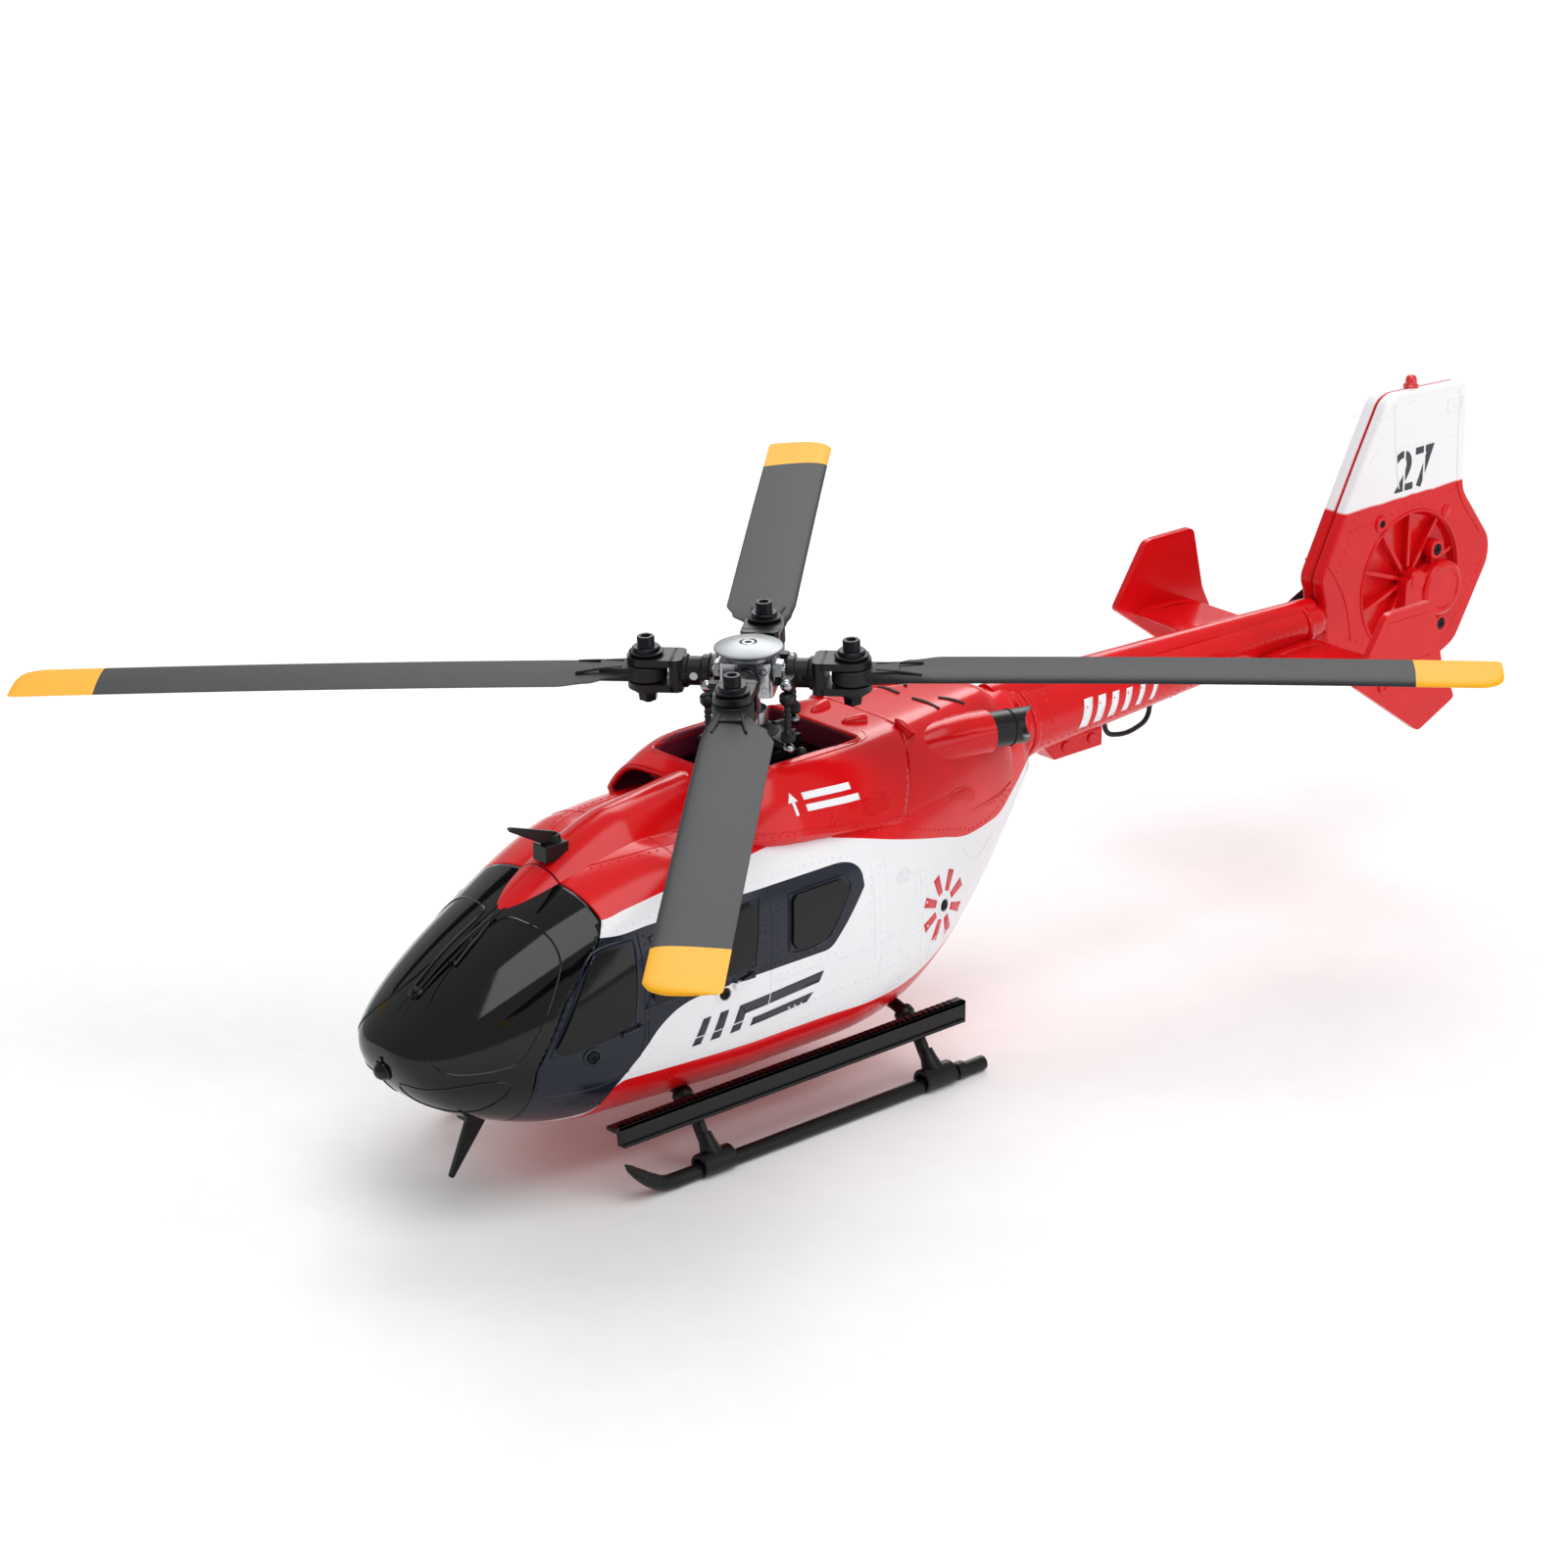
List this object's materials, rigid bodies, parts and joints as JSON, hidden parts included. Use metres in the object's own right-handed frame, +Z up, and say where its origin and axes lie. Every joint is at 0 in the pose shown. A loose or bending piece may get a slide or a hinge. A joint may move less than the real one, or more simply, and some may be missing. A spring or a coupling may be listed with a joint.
{
  "type": "helicopter scale model",
  "caption": "Ready-to-fly scale model helicopter with shrouded-tail fin, folding rotor blades, skid landing gear and pull-off nose cover.",
  "frame": {"origin": "ground plane under the middle of the model, on the centre plane between the skids", "axes": "+Z up, +Y towards the tail, +X towards the port side"},
  "size_m": [0.2146, 0.3272, 0.1083],
  "materials": {
    "black_gloss": "gloss",
    "livery_body": "gloss",
    "red_gloss": "gloss",
    "matt_black": "matt",
    "blade_grey": "matt",
    "aluminium": "satin",
    "motor_steel": "satin",
    "circuit_green": "satin",
    "battery_wrap": "satin",
    "white_plastic": "satin",
    "lamp_red": "gloss"
  },
  "bodies": {
    "airframe": {"fuselage_left": "livery_body", "fuselage_right": "livery_body", "front_cowl": "red_gloss", "rear_cowl": "red_gloss", "exhaust_left": "black_gloss", "exhaust_right": "black_gloss", "upper_wire_cutter": "matt_black", "main_frame": "matt_black", "main_motor": "motor_steel", "battery": "battery_wrap", "flight_board": "circuit_green", "tail_boom": "red_gloss", "boom_clamp": "red_gloss", "handle_rail": "matt_black", "fin_left": "red_gloss", "fin_right": "red_gloss", "beacon": "lamp_red", "tail_motor": "motor_steel", "tail_motor_cover": "red_gloss", "cross_tube_front": "matt_black", "cross_tube_rear": "matt_black", "skid_tube_left": "matt_black", "skid_tube_right": "matt_black", "running_board_left": "matt_black", "running_board_right": "matt_black", "stabiliser_left": "red_gloss", "stabiliser_right": "red_gloss", "servo_front": "matt_black", "servo_left": "matt_black", "servo_right": "matt_black", "guide_fork": "matt_black"},
    "canopy": {"nose_canopy": "black_gloss", "ridge_tip": "red_gloss", "nose_sensor": "black_gloss", "lower_wire_cutter": "matt_black"},
    "rotor": {"mast": "aluminium", "hub": "aluminium", "hub_cap": "aluminium"},
    "swash_lower": {"swash_lower": "matt_black"},
    "swash_upper": {"swash_upper": "matt_black", "pitch_link_1": "matt_black", "pitch_link_2": "matt_black", "pitch_link_3": "matt_black", "pitch_link_4": "matt_black"},
    "grip_1": {"grip_1": "matt_black", "blade_bolt_1": "matt_black"},
    "blade_1": {"blade_1": "blade_grey"},
    "grip_2": {"grip_2": "matt_black", "blade_bolt_2": "matt_black"},
    "blade_2": {"blade_2": "blade_grey"},
    "grip_3": {"grip_3": "matt_black", "blade_bolt_3": "matt_black"},
    "blade_3": {"blade_3": "blade_grey"},
    "grip_4": {"grip_4": "matt_black", "blade_bolt_4": "matt_black"},
    "blade_4": {"blade_4": "blade_grey"},
    "servo_horn_front": {"servo_horn_front": "white_plastic"},
    "servo_horn_left": {"servo_horn_left": "white_plastic"},
    "servo_horn_right": {"servo_horn_right": "white_plastic"},
    "tail_rotor": {"tail_rotor": "matt_black"}
  },
  "joints": [
    {"name": "canopy_pull", "type": "slide", "parent": "airframe", "child": "canopy", "axis": [0, -1, 0], "range_m": [0, 0.03]},
    {"name": "main_rotor_spin", "type": "hinge", "parent": "airframe", "child": "rotor", "pos_m": [0, -0.05649, 0.0854], "axis": [0, -0.0471, 0.9989], "continuous": true},
    {"name": "swash_slide", "type": "slide", "parent": "airframe", "child": "swash_lower", "axis": [0, -0.0471, 0.9989], "range_m": [-0.0014, 0.0014]},
    {"name": "swash_spin", "type": "hinge", "parent": "swash_lower", "child": "swash_upper", "pos_m": [0, -0.05583, 0.07142], "axis": [0, -0.0471, 0.9989], "continuous": true},
    {"name": "blade_pitch_1", "type": "hinge", "parent": "rotor", "child": "grip_1", "pos_m": [0, -0.05649, 0.0854], "axis": [0.7749, 0.6313, 0.0298], "range_deg": [-11.6, 11.6]},
    {"name": "blade_fold_1", "type": "hinge", "parent": "grip_1", "child": "blade_1", "pos_m": [0.0155, -0.04387, 0.086], "axis": [0, -0.0471, 0.9989], "range_deg": [-75, 75]},
    {"name": "blade_pitch_2", "type": "hinge", "parent": "rotor", "child": "grip_2", "pos_m": [0, -0.05649, 0.0854], "axis": [-0.632, 0.7741, 0.0365], "range_deg": [-11.6, 11.6]},
    {"name": "blade_fold_2", "type": "hinge", "parent": "grip_2", "child": "blade_2", "pos_m": [-0.01264, -0.04101, 0.08613], "axis": [0, -0.0471, 0.9989], "range_deg": [-75, 75]},
    {"name": "blade_pitch_3", "type": "hinge", "parent": "rotor", "child": "grip_3", "pos_m": [0, -0.05649, 0.0854], "axis": [-0.7749, -0.6313, -0.0298], "range_deg": [-11.6, 11.6]},
    {"name": "blade_fold_3", "type": "hinge", "parent": "grip_3", "child": "blade_3", "pos_m": [-0.0155, -0.06912, 0.08481], "axis": [0, -0.0471, 0.9989], "range_deg": [-75, 75]},
    {"name": "blade_pitch_4", "type": "hinge", "parent": "rotor", "child": "grip_4", "pos_m": [0, -0.05649, 0.0854], "axis": [0.632, -0.7741, -0.0365], "range_deg": [-11.6, 11.6]},
    {"name": "blade_fold_4", "type": "hinge", "parent": "grip_4", "child": "blade_4", "pos_m": [0.01264, -0.07197, 0.08467], "axis": [0, -0.0471, 0.9989], "range_deg": [-75, 75]},
    {"name": "servo_horn_front", "type": "hinge", "parent": "airframe", "child": "servo_horn_front", "pos_m": [-0.004, -0.06889, 0.0474], "axis": [1, 0, 0], "range_deg": [-11.6, 11.6]},
    {"name": "servo_horn_left", "type": "hinge", "parent": "airframe", "child": "servo_horn_left", "pos_m": [0.014, -0.05249, 0.0474], "axis": [1, 0, 0], "range_deg": [-11.6, 11.6]},
    {"name": "servo_horn_right", "type": "hinge", "parent": "airframe", "child": "servo_horn_right", "pos_m": [-0.014, -0.05249, 0.0474], "axis": [1, 0, 0], "range_deg": [-11.6, 11.6]},
    {"name": "tail_rotor_spin", "type": "hinge", "parent": "airframe", "child": "tail_rotor", "pos_m": [-0.011, 0.13481, 0.0625], "axis": [1, 0, 0], "continuous": true}
  ],
  "couplings": [
    {"joint": "swash_spin", "follows": "main_rotor_spin", "ratio": 1},
    {"joint": "blade_pitch_1", "follows": "swash_slide", "rad_per_m": -142.86},
    {"joint": "blade_pitch_2", "follows": "swash_slide", "rad_per_m": -142.86},
    {"joint": "blade_pitch_3", "follows": "swash_slide", "rad_per_m": -142.86},
    {"joint": "blade_pitch_4", "follows": "swash_slide", "rad_per_m": -142.86},
    {"joint": "servo_horn_front", "follows": "swash_slide", "rad_per_m": 142.86},
    {"joint": "servo_horn_left", "follows": "swash_slide", "rad_per_m": 142.86},
    {"joint": "servo_horn_right", "follows": "swash_slide", "rad_per_m": 142.86}
  ]
}
